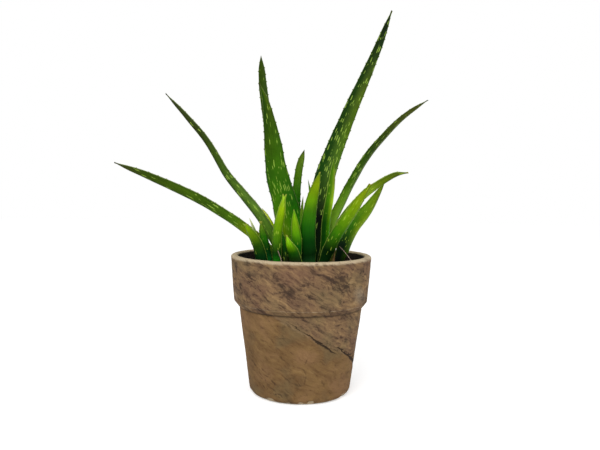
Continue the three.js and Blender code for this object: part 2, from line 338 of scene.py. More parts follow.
# Painted highlight and real wear: the rim's lip and the collar's corner are lightened as if catching the
# light, and the chips and the foot are rubbed pale.
wear_and_highlight_mask = add(tree, "Attribute", take="Fac", attribute_name="wear_and_highlight")
wear_and_highlight_noise = add(tree, "Math", {0: wrinkles, 1: wear_and_highlight_mask}, operation="MULTIPLY")
wear_and_highlight_share = add(tree, "MapRange", {"Value": wear_and_highlight_noise, "From Min": 0.16, "From Max": 0.46, "To Max": 0.85})
body = add(tree, "Mix", {"Factor": wear_and_highlight_share, "A": body, "B": "#b8a78a"}, data_type="RGBA")
# Painted shade: a dark line just under the collar, where the collar's corner shades the wall.
crease_shade = add(tree, "Attribute", take="Fac", attribute_name="crease_shade")
body = add(tree, "Mix", {"Factor": crease_shade, "A": body, "B": "#2e2318"}, data_type="RGBA")
# Painted shade: the inside wall below the lip is darkened nearly to black, as if it lay in shadow.
inside_shade = add(tree, "Attribute", take="Fac", attribute_name="painted_inside_shade")
body = add(tree, "Mix", {"Factor": inside_shade, "A": body, "B": "#15100c"}, data_type="RGBA")
pores = add(tree, "TexVoronoi", {"Vector": place, "Scale": 1 / (2.6 * mm)}, "Distance")
pore_share = add(tree, "MapRange", {"Value": pores, "From Min": 0.15, "From Max": 0.08, "To Max": 0.4})
body = add(tree, "Mix", {"Factor": pore_share, "A": body, "B": "#4d3b2a"}, data_type="RGBA")
relief = add(tree, "Math", {0: mixed, 1: upper_share}, operation="MULTIPLY")
relief = add(tree, "Math", {0: grain, 1: 0.5, 2: relief}, operation="MULTIPLY_ADD")
relief = add(tree, "Math", {0: pore_share, 1: -0.8, 2: relief}, operation="MULTIPLY_ADD")
relief = add(tree, "Math", {0: crack_share, 1: -1.2, 2: relief}, operation="MULTIPLY_ADD")
bump = add(tree, "Bump", {"Height": relief, "Strength": 0.5, "Distance": 0.5 * mm})
dryness = add(tree, "MapRange", {"Value": streaks, "To Min": 0.8, "To Max": 0.95})
surface = add(tree, "BsdfPrincipled", {
    "Base Color": body, "Roughness": dryness, "Specular IOR Level": 0.18, "Normal": bump,
})
add(tree, "OutputMaterial", {"Surface": surface})

pot = finished("clay_pot", pot_bm, clay, "marbled_clay", "pot")

# The drain holes are pushed through the floor while the clay is soft.
cutter_bm = bmesh.new()
for step in range(drain_hole_count):
    angle = math.radians(90) + step * math.tau / drain_hole_count
    away = drain_hole_offset * math.cos(angle), drain_hole_offset * math.sin(angle)
    middle = Vector((*away, floor_thickness / 2))
    bmesh.ops.create_cone(
        cutter_bm, cap_ends=True, segments=40, radius1=drain_hole_radius, radius2=drain_hole_radius,
        depth=2 * floor_thickness, matrix=Matrix.Translation(middle),
    )
cutter_mesh = bpy.data.meshes.new("drain_hole_cutter")
cutter_bm.to_mesh(cutter_mesh)
cutter_bm.free()
cutter = bpy.data.objects.new("drain_hole_cutter", cutter_mesh)
bpy.context.scene.collection.objects.link(cutter)
holes = pot.modifiers.new("drain_holes", "BOOLEAN")
holes.operation = "DIFFERENCE"
holes.solver = "EXACT"
holes.object = cutter
cut_pot = bpy.data.meshes.new_from_object(pot.evaluated_get(bpy.context.evaluated_depsgraph_get()))
pot.modifiers.clear()
pot.data = cut_pot
bpy.data.objects.remove(cutter)

# The wall is a little uneven from the potter's hands, with a groove cut under the collar, the opened crack,
# and chips knocked out of the foot.
lump_depth = 0.3 * mm
tool_mark_depth = 0.14 * mm
groove_depth = 0.9 * mm
crack_depth = 0.9 * mm
chip_depth = 1.4 * mm
scratch_depth = 0.35 * mm

points = corners_of(pot.data)
radii = np.hypot(points[:, 0], points[:, 1])
heights = points[:, 2] / mm
angles = np.degrees(np.arctan2(points[:, 0], -points[:, 1]))
inner = np.array([inner_radius(z) for z in points[:, 2]])
on_outside = np.clip((radii - inner - 2 * mm) / (2 * mm), 0, 1) * (heights > 0.3)
lumps = np.array([noise.noise(Vector(p) / (26 * mm)) for p in points])
tool_marks = np.array([noise.noise(Vector((p[0], p[1], p[2] * 5)) / (14 * mm)) for p in points])
chips = np.array([noise.noise(Vector(p) / (7 * mm)) for p in points])
offset, opening = signed_offset(crack_stretches[0], angles, heights)
for stretch in crack_stretches[1:]:
    other_offset, other_opening = signed_offset(stretch, angles, heights)
    nearer = (other_opening > 0) & ((opening <= 0) | (np.abs(other_offset) < np.abs(offset)))
    offset, opening = np.where(nearer, other_offset, offset), np.where(nearer, other_opening, opening)
scratch_gap = np.full(len(points), 99.0)
for scratch in scratches:
    scratch_gap = np.minimum(scratch_gap, distance_to(scratch, angles, heights))
scratched = np.exp(-(scratch_gap / 0.9) ** 2)
groove = np.exp(-((heights - wall_top_height / mm + 0.3) / 0.9) ** 2) * on_outside
chipped = np.clip(chips - 0.18, 0, 0.3) / 0.3 * np.exp(-((heights - 1.5) / 2.2) ** 2)
lip = np.exp(-((heights - pot_height / mm) / 3) ** 2)
push = lumps * lump_depth + tool_marks * tool_mark_depth
push -= groove * groove_depth + chipped * chip_depth + scratched * scratch_depth
push -= crack_depth * np.clip(opening, 0, 1) * np.exp(-(offset / 0.9) ** 2)
push *= on_outside
points[:, 0] *= 1 + push / np.maximum(radii, mm)
points[:, 1] *= 1 + push / np.maximum(radii, mm)
points[:, 2] += chipped * on_outside * 0.5 * mm - lip * np.abs(tool_marks) * 0.4 * mm
pot.data.vertices.foreach_set("co", points.ravel())

layer_height = heights + math.tan(math.radians(layer_tilt)) * points[:, 0] / mm
# Painted shade under the collar, a thin dark band just below the collar's corner.
crease_shade = np.exp(-((heights - 86.3) / 0.8) ** 2) * on_outside
# Painted highlight along the collar's corner.
collar_corner_highlight = np.exp(-((heights - 91.5) / 0.9) ** 2) * on_outside
store(pot.data, "above_seam", "FLOAT", np.where(heights > 86, 9, np.clip(layer_height - seam_height, -9, 9)))
store(pot.data, "crack_offset", "FLOAT", np.clip(offset, -9, 9))
store(pot.data, "crack_opening", "FLOAT", opening * on_outside)
store(pot.data, "scratch", "FLOAT", scratched * on_outside)
store(pot.data, "crease_shade", "FLOAT", 0.85 * crease_shade)
store(pot.data, "stain", "FLOAT", soft_patch(stains, angles, heights) * on_outside)
store(pot.data, "pale_patch", "FLOAT", soft_patch(pale_patches, angles, heights) * on_outside)
# Painted highlight on the lip and the collar's corner, with real wear on the chips and the foot.
wear_and_highlight_mask = lip + chipped * 1.6 + collar_corner_highlight * 0.5 + np.exp(-((heights - 1) / 1.6) ** 2) * 0.6
store(pot.data, "wear_and_highlight", "FLOAT", np.clip(wear_and_highlight_mask, 0, 1))
# Painted shade on the inside wall, from just under the lip down to the floor.
inside_shade = (1 - on_outside) * np.clip((136.4 - heights) / 1.4, 0, 1) * (heights > 7)
store(pot.data, "painted_inside_shade", "FLOAT", np.clip(inside_shade, 0, 1) * 0.96)

# ----------------------------------------------------------------------------------------------------------
# Soil. Damp dark peat, filled to a thumb's width below the rim and left rough by watering, with loose crumbs
# and a few shreds of bark lying on it.
# ----------------------------------------------------------------------------------------------------------

soil_low, soil_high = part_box("soil")
soil_gap = 0.4 * mm
soil_shoulder = 4 * mm
crumb_count = 900
shred_count = 130
soil_dice = random.Random(41)

peat, tree = new_material("damp_peat")
place = add(tree, "TexCoord", take="Object")
clumps = add(tree, "TexNoise", {"Vector": place, "Scale": 1 / (6 * mm), "Detail": 6, "Roughness": 0.7})
grit = add(tree, "TexVoronoi", {"Vector": place, "Scale": 1 / (1.6 * mm)}, "Color")
grit = add(tree, "SeparateColor", {"Color": grit}, "Red")
mixed = add(tree, "Mix", {"Factor": 0.4, "A": clumps, "B": grit})
colour = add(tree, "ValToRGB", {"Fac": mixed}, "Color", stops=[
    (0.25, "#0b0908"), (0.5, "#17110d"), (0.68, "#261b13"), (0.86, "#3a291b"),
])
bump = add(tree, "Bump", {"Height": mixed, "Strength": 0.9, "Distance": 1.2 * mm})
dampness = add(tree, "MapRange", {
    "Value": clumps, "From Min": 0.3, "From Max": 0.7, "To Min": 0.72, "To Max": 0.98,
})
surface = add(tree, "BsdfPrincipled", {
    "Base Color": colour, "Roughness": dampness, "Specular IOR Level": 0.25, "Normal": bump,
})
add(tree, "OutputMaterial", {"Surface": surface})


def soil_height(x, y):
    """Height of the rough soil surface at a place."""
    spread = math.hypot(x, y)
    mound = soil_high.z - 1.5 * mm * min(1, max(0, (spread - 38 * mm) / (22 * mm)))
    clods = noise.fractal(Vector((x, y, 0)) / (11 * mm), 0.8, 2.2, 4) * 1.5 * mm
    return mound + clods - 0.6 * mm


soil_rim = inner_radius(soil_line) - soil_gap
soil_bm = turned([
    ([(0, soil_low.z), (inner_radius(floor_thickness) - foot_rounding - soil_gap, soil_low.z)], coarse_cell),
    ([(inner_radius(floor_thickness + foot_rounding) - 2 * soil_gap, floor_thickness + foot_rounding),
      (inner_radius(soil_line - soil_shoulder) - soil_gap, soil_line - soil_shoulder)], coarse_cell),
    ([(soil_rim, soil_line), (0, soil_line)], 1.5 * mm),
], 150)
for vert in soil_bm.verts:
    if vert.co.z > soil_line - mm:
        vert.co.z = soil_height(vert.co.x, vert.co.y)
finished("potting_soil", soil_bm, peat, "potting_soil", "soil")

crumb_bm = bmesh.new()
for _ in range(crumb_count):
    spread = (inner_radius(soil_line) - 2.5 * mm) * math.sqrt(soil_dice.random())
    angle = soil_dice.random() * math.tau
    x, y = spread * math.cos(angle), spread * math.sin(angle)
    size = soil_dice.uniform(0.6, 1.3) ** 3 * 1.1 * mm
    shape = Matrix.Diagonal((size, size * soil_dice.uniform(0.6, 1), size * soil_dice.uniform(0.5, 0.9), 1))
    turn = Matrix.Rotation(
        soil_dice.random() * math.tau, 4, Vector((soil_dice.random(), soil_dice.random(), 1)),
    )
    put = Matrix.Translation((x, y, soil_height(x, y) + size * 0.35))
    grown = bmesh.ops.create_icosphere(crumb_bm, subdivisions=1, radius=1, matrix=put @ turn @ shape)
    for vert in grown["verts"]:
        vert.co += noise.noise_vector(vert.co / mm) * size * 0.3
for _ in range(shred_count):
    spread = (inner_radius(soil_line) - 7 * mm) * math.sqrt(soil_dice.random())
    angle = soil_dice.random() * math.tau
    x, y = spread * math.cos(angle), spread * math.sin(angle)
    length = soil_dice.uniform(3, 9) * mm
    tilt = Matrix.Rotation(math.radians(90 + soil_dice.uniform(-14, 14)), 4, "X")
    turn = Matrix.Rotation(soil_dice.random() * math.tau, 4, "Z")
    put = Matrix.Translation((x, y, soil_height(x, y) + 0.8 * mm))
    flat = Matrix.Diagonal((1.6, 0.6, 1, 1))
    bmesh.ops.create_cone(
        crumb_bm, cap_ends=True, segments=5, radius1=soil_dice.uniform(0.3, 0.7) * mm, radius2=0.15 * mm,
        depth=length, matrix=put @ turn @ tilt @ flat,
    )
finished("soil_crumbs", crumb_bm, peat, "potting_soil")

# ----------------------------------------------------------------------------------------------------------
# Stems. The short fleshy stem in the middle of each rosette, ringed with the scars of leaves that have
# dropped off, and set in the soil.
# ----------------------------------------------------------------------------------------------------------

scar_spacing = 2.2 * mm
scar_height = 0.35 * mm
stem_names = ["main_stem", "left_pup_stem", "centre_pup_stem", "front_pup_stem", "right_pup_stem"]

stem_skin, tree = new_material("scarred_stem_skin")
place = add(tree, "TexCoord", take="Object")
height = add(tree, "SeparateXYZ", {"Vector": place}, "Z")
mottle = add(tree, "TexNoise", {"Vector": place, "Scale": 1 / (1.8 * mm), "Detail": 4})
rings = add(tree, "Math", {0: height, 1: math.tau / scar_spacing}, operation="MULTIPLY")
rings = add(tree, "Math", {0: rings}, operation="SINE")
toned = add(tree, "Math", {0: rings, 1: 0.12, 2: mottle}, operation="MULTIPLY_ADD")
colour = add(tree, "ValToRGB", {"Fac": toned}, "Color", stops=[
    (0.3, "#2c3212"), (0.5, "#56632a"), (0.7, "#8b8450"),
])
bump = add(tree, "Bump", {"Height": toned, "Strength": 0.4, "Distance": 0.4 * mm})
surface = add(tree, "BsdfPrincipled", {"Base Color": colour, "Roughness": 0.6, "Normal": bump})
add(tree, "OutputMaterial", {"Surface": surface})

for name in stem_names:
    low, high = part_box(name)
    middle = (low + high) / 2
    radius = (high.x - low.x) / 2
    outline = [(0, low.z)] + corner(radius - mm, low.z + mm, mm, -90, 0, 3)
    scar = low.z + 3 * mm
    while scar < high.z - 2 * mm:
        outline += [(radius - scar_height, scar), (radius, scar + scar_spacing * 0.3)]
        scar += scar_spacing
    outline += corner(radius - mm, high.z - mm, mm, 0, 90, 3) + [(0, high.z)]
    stem_bm = turned([(outline, 1.2 * mm)], 24)
    bmesh.ops.translate(stem_bm, verts=stem_bm.verts, vec=(middle.x, middle.y, 0))
    finished(name + "_scarred", stem_bm, stem_skin, "stem", name)

# ----------------------------------------------------------------------------------------------------------
# Leaves. Thick tapering leaves full of gel, channelled on the upper face and rounded below, with a thin
# cartilage margin that carries small hooked teeth. They clasp the stem at the foot and go down into the soil.
# ----------------------------------------------------------------------------------------------------------

# Colour of a leaf's skin from foot to tip, on its left half and then on its right half where that differs,
# how thickly it is spotted, and a tip that isn't a plain point as its width, slant and notch in millimetres.
# These skin colours also carry painted shade and light: near-black feet where the leaves shade one another,
# and halves lighter or darker by how the light falls on them.
mature_leaves = {
    "leaf_far_left": ("#20a945 #96ad05 #45690c #355208 #3b5408 #324507 #3c3f1c", "", 0.80, (1.8, 0.4, 0.0)),
    "leaf_upper_left": ("#285808 #163c02 #142c04 #242f0a #30341a",
                        "#356412 #587a26 #3c5714 #2c380c #343a1a", 0.30, (1.8, 0.3, 0.0)),
    "leaf_tall_left": ("#416509 #5d7d06 #427705 #2b5905 #304c05 #213d05 #204205",
                       "#3f7005 #2b7d05 #1d5805 #305e05 #335905 #354908 #466008", 0.72, (1.8, 0.4, 0.0)),
    "leaf_tall_back": ("#1d4505 #1e4505 #254906 #274005 #2d3e05", "", 0.25, None),
    "leaf_tallest_right": ("#050605 #050a05 #133805 #163305 #173205 #172a05 #060d05",
                           "#072505 #060e05 #3f6214 #3f5a06 #41550d #112805 #051105", 0.95, (1.8, -0.4, 0.0)),
    "leaf_arching_right": ("#092605 #8bc22e #3a6005 #243c05 #37420a #393b10", "", 0.60, (1.8, 0.4, 0.0)),
    "leaf_young_back": ("#053b05 #0a5205 #166505 #4b7505 #596d1b", "", 0.0, None),
    "leaf_heart": ("#074005 #206b05 #789024", "", 0.0, None),
    "leaf_heart_back": ("#154e05 #4e9205 #79af0d", "", 0.0, None),
    "leaf_hidden_left": ("#1f4a08 #2f5a0a #3c5c12 #454b29", "", 0.45, None),
    "leaf_hidden_back": ("#1f4a08 #2f5a0a #3c5c12 #454b29", "", 0.45, None),
}
young_leaves = {
    "leaf_olive": ("#4a8105 #a5d406 #b9da10 #fdff7a", "", 0.1, None),
    "left_pup_front": ("#062b0e #0c3911 #274f05 #618405 #86ae05", "", 0.12, (3.0, 1.5, 0.8)),
    "left_pup_left": ("#0f3b05 #33640b #457205 #ffffce", "", 0.1, None),
    "left_pup_right": ("#158b33 #05390d #266906 #6a851e", "", 0.1, (3.0, -1.0, 0.0)),
    "left_pup_back": ("#0c3a08 #2a5a10 #4e7117", "", 0.1, None),
    "centre_pup_bright": ("#30aa1d #073307 #467806 #659005 #8aac05 #92bc2c", "", 0.35, (4.2, 0.8, 2.6)),
    "centre_pup_dark": ("#2c2217 #083b05 #287105", "", 0.25, None),
    "front_pup_stubby": ("#102714 #1c3111 #164f06 #74b109 #a2db26", "", 0.05, (2.4, -0.8, 0.0)),
    "front_pup_pointed": ("#05250b #094006 #0d5a05 #538d05 #729d0a #6eae10", "", 0.30, None),
    "front_pup_smooth": ("#265c2a #092909 #053b05 #1a5805 #326805 #5a8605 #738d05 #758e05",
                         "", 0.0, (1.6, 0.8, 0.8)),
    "right_pup_upright": ("#0c4d07 #185a09 #0f4405 #3e7505 #467405 #416d05",
                          "#328110 #5ec807 #64b205 #b7dd2b #819028 #5c7d07", 0.12, None),
    "right_pup_arching": ("#5c5a21 #08170e #2c6b05 #84a726 #556b07 #3f4d11", "", 0.40, (1.8, 0.3, 0.0)),
    "right_pup_blunt": ("#123f12 #051e05 #387105 #648d05 #728d06 #667807", "", 0.30, (4.0, 2.4, 1.0)),
    "right_pup_broad": ("#0c1413 #052105 #2b6005 #507505 #5a7605 #546b05",
                        "#050506 #4a7612 #7e9907 #70930a #566806 #2d3f05", 0.30, None),
}

ring_spacing = 2.6 * mm
section_steps = 12
soil_reach = 6 * mm
tooth_spacing = 11 * mm
tooth_length = 2.0 * mm
leaf_dice = random.Random(7)
# What each vertex of a blade remembers: place across and along the leaf, distance from the margin, underside.
leaf_fields = ("across", "along", "edge", "lower")


def sections_of(name):
    """A CAD leaf's sections from foot to tip, a row each: centre, side, keel, half width, thickness."""
    bm = bmesh.new()
    bm.from_mesh(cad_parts[name].data)
    bmesh.ops.remove_doubles(bm, verts=bm.verts, dist=0.01 * mm)
    tip = max((v for v in bm.verts if len(v.link_edges) == 8), key=lambda v: v.co.z)
    seen, ring, rows = {tip}, [tip], []
    while len(seen) < len(bm.verts):
        ring = list({e.other_vert(v) for v in ring for e in v.link_edges} - seen)
        seen.update(ring)
        if len(ring) < 8:
            break
        a, b = max(((p, q) for p in ring for q in ring), key=lambda pair: (pair[0].co - pair[1].co).length)
        if (b.co - a.co).x < 0:
            a, b = b, a
        side = (b.co - a.co).normalized()
        middle = (a.co + b.co) / 2
        half = (b.co - a.co).length / 2
        midline = [v for v in ring if abs((v.co - middle).dot(side)) < 0.2 * half]
        keel = max((v.co - middle for v in midline), key=lambda reach: reach.length)
        thickness = keel.length / 1.13
        keel.normalize()
        rows.insert(0, [*(middle + keel * thickness * 0.25), *side, *keel, half, thickness])
    rows.append([*tip.co, *rows[-1][3:9], 0, 0])
    bm.free()
    return np.array(rows)


def smooth_between(rows, places):
    """Rows on a smooth curve through the given rows, at places counted in rows."""
    padded = np.vstack([2 * rows[0] - rows[1], rows, 2 * rows[-1] - rows[-2]])
    start = np.clip(places.astype(int), 0, len(rows) - 2)
    t = (places - start)[:, None]
    a, b, c, d = (padded[start + step] for step in range(4))
    return 0.5 * (
        2 * b + (c - a) * t + (2 * a - 5 * b + 4 * c - d) * t ** 2 + (3 * b - a - 3 * c + d) * t ** 3
    )


def tooth_at(along, teeth):
    """How far a tooth stands out at a place along the margin, as a share of its height, hooked to the tip."""
    most = 0
    for start in teeth:
        share = (along - start) / tooth_length
        if 0 < share < 1:
            most = max(most, share / 0.7 if share < 0.7 else (1 - share) / 0.3)
    return most


def palette(codes, shares):
    """Linear colours at shares of a leaf's length, between the hex colours given from foot to tip."""
    stops = np.array([linear(code)[:3] for code in codes.split()])
    places = np.linspace(0, 1, len(stops))
    return np.stack([np.interp(shares, places, stops[:, channel]) for channel in range(3)], 1)


def leaf(name, skin, slot, look, tooth_height):
    """Rebuilds a CAD leaf as a fine blade: a sheet rolled round its sections, toothed along the margins."""
    left_codes, right_codes, spotting, tip_shape = look
    rows = sections_of(name)
    length = sum(np.linalg.norm(b[:3] - a[:3]) for a, b in zip(rows, rows[1:]))
    teeth = []
    for margin in range(2):
        spots_for_teeth = []
        along = tooth_spacing * leaf_dice.uniform(0.8, 1.4)
        while along < length - 9 * mm:
            spots_for_teeth.append(along)
            along += tooth_spacing * leaf_dice.uniform(0.7, 1.3)
        teeth.append(spots_for_teeth)
    marks = [start + part * tooth_length for margin in teeth for start in margin for part in (0, 0.7, 1)]
    marks += list(np.linspace(0, length, int(length / ring_spacing)))
    marks += [length - step * mm for step in (0.4, 0.9, 1.5, 2.2)]
    marks = sorted(set(marks))
    alongs = [marks[0]] + [b for a, b in zip(marks, marks[1:]) if b - a > 0.12 * mm or b == marks[-1]]
    alongs = np.array([-soil_reach, -soil_reach / 2] + alongs)
    shares = np.clip(alongs / length, 0, 1)
    rings = smooth_between(rows, shares * (len(rows) - 1))
    foot_pull = (rows[1][:3] - rows[0][:3]) / np.linalg.norm(rows[1][:3] - rows[0][:3])
    foot_pull = (foot_pull + np.array([0, 0, 1.5])) / 2.5
    seed = leaf_dice.uniform(0, 100)
    end_width, slant, notch = [value * mm for value in tip_shape or (0, 0, 0)]

    bm = bmesh.new()
    around = 2 * section_steps
    bmesh.ops.create_grid(bm, x_segments=len(rings) - 1, y_segments=around, size=1)
    ring_of = [round((v.co.x + 1) / 2 * (len(rings) - 1)) for v in bm.verts]
    step_of = [round((v.co.y + 1) / 2 * around) for v in bm.verts]
    records = []
    for index, vert in enumerate(bm.verts):
        ring, step = ring_of[index], step_of[index]
        row, along, share = rings[ring], alongs[ring], shares[ring]
        side, keel = row[3:6] / np.linalg.norm(row[3:6]), row[6:9] / np.linalg.norm(row[6:9])
        half, thick = max(row[9], 0), max(row[10], 0)
        half *= 1 + 0.035 * noise.noise(Vector((seed, along / (16 * mm), 0)))
        if end_width and share > 0.8:
            ease = (share - 0.8) / 0.2
            half = max(half, end_width / 2 * ease ** 0.5)
        if along < 8 * mm:
            half *= 1 + 0.16 * (1 - max(along, 0) / (8 * mm))
        turn = step / around * math.tau
        s = math.cos(turn)
        lower = turn > math.pi
        width_share = 1 - s * s
        if lower:
            through = 0.88 * width_share ** 0.8 - 0.25 * s * s
        else:
            through = 0.12 * width_share - 0.25 * s * s
        reach = half
        if abs(s) > 0.999:
            reach += tooth_height * tooth_at(along, teeth[0 if s > 0 else 1]) * min(1, half / (3 * mm))
        centre = row[:3].copy()
        centre += foot_pull * min(along, 0)
        centre += side * 0.5 * mm * noise.noise(Vector((seed, along / (30 * mm), 5))) * min(1, share * 5)
        centre += keel * 0.6 * mm * noise.noise(Vector((seed, along / (24 * mm), 9))) * min(1, share * 5)
        place = centre + side * s * reach + keel * through * thick
        if end_width and share > 0.8:
            forward = rings[-1][:3] - rings[-6][:3]
            forward /= np.linalg.norm(forward)
            ease = ((share - 0.8) / 0.2) ** 2
            place += forward * ease * (slant * (s - 1) / 2 - notch * (1 - min(1, abs(s) * 2)))
        vert.co = place
        records.append((s * half, along, half * (1 - abs(s)), float(lower)))
    layers = [bm.verts.layers.float.new(field) for field in leaf_fields]
    for vert, record in zip(bm.verts, records):
        for layer, value in zip(layers, record):
            vert[layer] = value
    bmesh.ops.remove_doubles(bm, verts=bm.verts, dist=0.004 * mm)
    ends = [e for e in bm.edges if e.is_boundary]
    if ends:
        bmesh.ops.holes_fill(bm, edges=ends, sides=0)
    bmesh.ops.recalc_face_normals(bm, faces=bm.faces)
    piece = finished(name + "_blade", bm, skin, slot, name)

    mesh = piece.data
    fields = {}
    for field in leaf_fields:
        values = np.empty(len(mesh.vertices), np.float32)
        mesh.attributes[field].data.foreach_get("value", values)
        fields[field] = values.astype(float)
        mesh.attributes.remove(mesh.attributes[field])
    shares = np.clip(fields["along"] / length, 0, 1)
    left = palette(left_codes, shares)
    right = palette(right_codes or left_codes, shares)
    half = np.abs(fields["across"]) + fields["edge"] + 1e-6
    rightness = np.clip(fields["across"] / half + 0.5, 0, 1)[:, None]
    # The skin colour with its painted shade and light, blended from the left half to the right.
    skin_shade_and_light = left * (1 - rightness) + right * rightness
    store(mesh, "skin_shade_and_light", "FLOAT_COLOR", np.hstack([skin_shade_and_light, np.ones((len(shares), 1))]))
    offset = seed * 0.01 + fields["lower"] * 0.5
    spread = fields["across"] + seed * 0.002
    store(mesh, "leaf_place", "FLOAT_VECTOR",
          np.stack([spread, fields["along"] + offset, np.zeros_like(offset)], 1))
    store(mesh, "from_margin", "FLOAT", fields["edge"] / mm)
    store(mesh, "from_tip", "FLOAT", (length - fields["along"]) / mm)
    thinning = np.clip(1.25 - 0.75 * shares, 0, 1) * np.clip(shares * 6 - 0.6, 0, 1)
    store(mesh, "spotting", "FLOAT", spotting * thinning)
    return piece


def leaf_skin(name, spot_colour, spot_width, spot_length, spot_strength, margin_colour, tip_colour,
              withered_length, roughness):
    """Fresh aloe skin: a waxy surface over green gel, with pale spots and a thin pale cartilage margin."""
    material, tree = new_material(name)
    place = add(tree, "Attribute", take="Vector", attribute_name="leaf_place")
    # The skin colour holds painted shade and painted light along with the leaf's own green.
    colour = add(tree, "Attribute", take="Color", attribute_name="skin_shade_and_light")
    margin = add(tree, "Attribute", take="Fac", attribute_name="from_margin")
    tip = add(tree, "Attribute", take="Fac", attribute_name="from_tip")
    spotting = add(tree, "Attribute", take="Fac", attribute_name="spotting")
    # Fine veins run the length of the leaf, and the green is uneven between them.
    combed = add(tree, "VectorMath", {0: place, 1: (1, 0.035, 1)}, operation="MULTIPLY")
    veins = add(tree, "TexNoise", {"Vector": combed, "Scale": 1 / (0.9 * mm), "Detail": 3})
    uneven = add(tree, "TexNoise", {"Vector": place, "Scale": 1 / (9 * mm), "Detail": 3})
    tone = add(tree, "Mix", {"Factor": 0.5, "A": veins, "B": uneven})
    tone = add(tree, "MapRange", {
        "Value": tone, "From Min": 0.3, "From Max": 0.7, "To Min": 0.72, "To Max": 1.28,
    })
    colour = add(tree, "Mix", {"Factor": 1.0, "A": colour, "B": tone},
                 data_type="RGBA", blend_type="MULTIPLY")
    # Pale oval spots in loose bands, each where a pocket of air lies under the skin.
    waver = add(tree, "TexNoise", {"Vector": place, "Scale": 1 / (3 * mm), "Detail": 2}, "Color")
    waver = add(tree, "VectorMath", {0: waver, 1: (0.5, 0.5, 0.5)}, operation="SUBTRACT")
    waver = add(tree, "VectorMath", {0: waver, 1: (0.9 * mm, 9 * mm, 0)}, operation="MULTIPLY")
    nudged = add(tree, "VectorMath", {0: place, 1: waver}, operation="ADD")
    nudged = add(tree, "VectorMath", {0: nudged, 1: (1 / spot_width, 1 / spot_length, 0)},
                 operation="MULTIPLY")
    cells = add(tree, "TexVoronoi", {"Vector": nudged, "Scale": 1.0, "Randomness": 1.0},
                "Distance", voronoi_dimensions="2D")
    lot = add(tree, "SeparateColor", {"Color": cells.node.outputs["Color"]}, "Red")
    size = add(tree, "SeparateColor", {"Color": cells.node.outputs["Color"]}, "Green")
    bands = add(tree, "VectorMath", {0: place, 1: (0.3, 1, 1)}, operation="MULTIPLY")
    bands = add(tree, "TexNoise", {"Vector": bands, "Scale": 1 / (17 * mm), "Detail": 1})
    bands = add(tree, "MapRange", {
        "Value": bands, "From Min": 0.38, "From Max": 0.62, "To Min": 0.5, "To Max": 1.35,
    })
    chance = add(tree, "Math", {0: spotting, 1: bands}, operation="MULTIPLY")
    kept = add(tree, "Math", {0: lot, 1: chance}, operation="LESS_THAN")
    spot_reach = add(tree, "MapRange", {"Value": size, "To Min": 0.18, "To Max": 0.4})
    inside = add(tree, "Math", {0: spot_reach, 1: cells}, operation="SUBTRACT")
    inside = add(tree, "MapRange", {"Value": inside, "From Min": 0.0, "From Max": 0.2},
                 interpolation_type="SMOOTHSTEP")
    spot = add(tree, "Math", {0: inside, 1: kept}, operation="MULTIPLY")
    spot_share = add(tree, "Math", {0: spot, 1: spot_strength}, operation="MULTIPLY")
    colour = add(tree, "Mix", {"Factor": spot_share, "A": colour, "B": spot_colour}, data_type="RGBA")
    # The cartilage margin, with a darker green line inside it.
    shadow_line = add(tree, "MapRange", {"Value": margin, "From Min": 1.6, "From Max": 0.5, "To Max": 0.4})
    colour = add(tree, "Mix", {"Factor": shadow_line, "A": colour, "B": "#15300a"}, data_type="RGBA")
    edge = add(tree, "MapRange", {"Value": margin, "From Min": 0.4, "From Max": 0.1, "To Max": 0.55})
    colour = add(tree, "Mix", {"Factor": edge, "A": colour, "B": margin_colour}, data_type="RGBA")
    withered = add(tree, "Math", {0: uneven, 1: 5.0, 2: tip}, operation="MULTIPLY_ADD")
    withered = add(tree, "MapRange", {
        "Value": withered, "From Min": 2.5 + withered_length, "From Max": 3.5, "To Max": 0.8,
    })
    colour = add(tree, "Mix", {"Factor": withered, "A": colour, "B": tip_colour}, data_type="RGBA")
    relief = add(tree, "Math", {0: spot, 1: 0.25, 2: veins}, operation="MULTIPLY_ADD")
    bump = add(tree, "Bump", {"Height": relief, "Strength": 0.25, "Distance": 0.25 * mm})
    wax = add(tree, "MapRange", {"Value": uneven, "To Min": roughness - 0.08, "To Max": roughness + 0.1})
    surface = add(tree, "BsdfPrincipled", {
        "Base Color": colour, "Roughness": wax, "Specular IOR Level": 0.04, "Normal": bump,
        "Subsurface Weight": 0.05, "Subsurface Radius": (0.8, 1.0, 0.3), "Subsurface Scale": 1.5 * mm,
    })
    add(tree, "OutputMaterial", {"Surface": surface})
    return material


mature_skin = leaf_skin(
    "waxy_mature_leaf", "#9cbd4a", 1.9 * mm, 12 * mm, 0.58, "#8f9a5a", "#2a2a14", 6.5, 0.42,
)
young_skin = leaf_skin("waxy_young_leaf", "#aecb45", 1.8 * mm, 7 * mm, 0.5, "#9ab347", "#8a8a3a", 2.5, 0.40)
for name, look in mature_leaves.items():
    leaf(name, mature_skin, "mature_leaf", look, 0.8 * mm)
for name, look in young_leaves.items():
    leaf(name, young_skin, "young_leaf", look, 0.45 * mm)

# ----------------------------------------------------------------------------------------------------------
# Dried remains. A small leaf that has withered to brown papery skin beside the right pup, and two dry straws
# that stand just clear of the soil.
# ----------------------------------------------------------------------------------------------------------

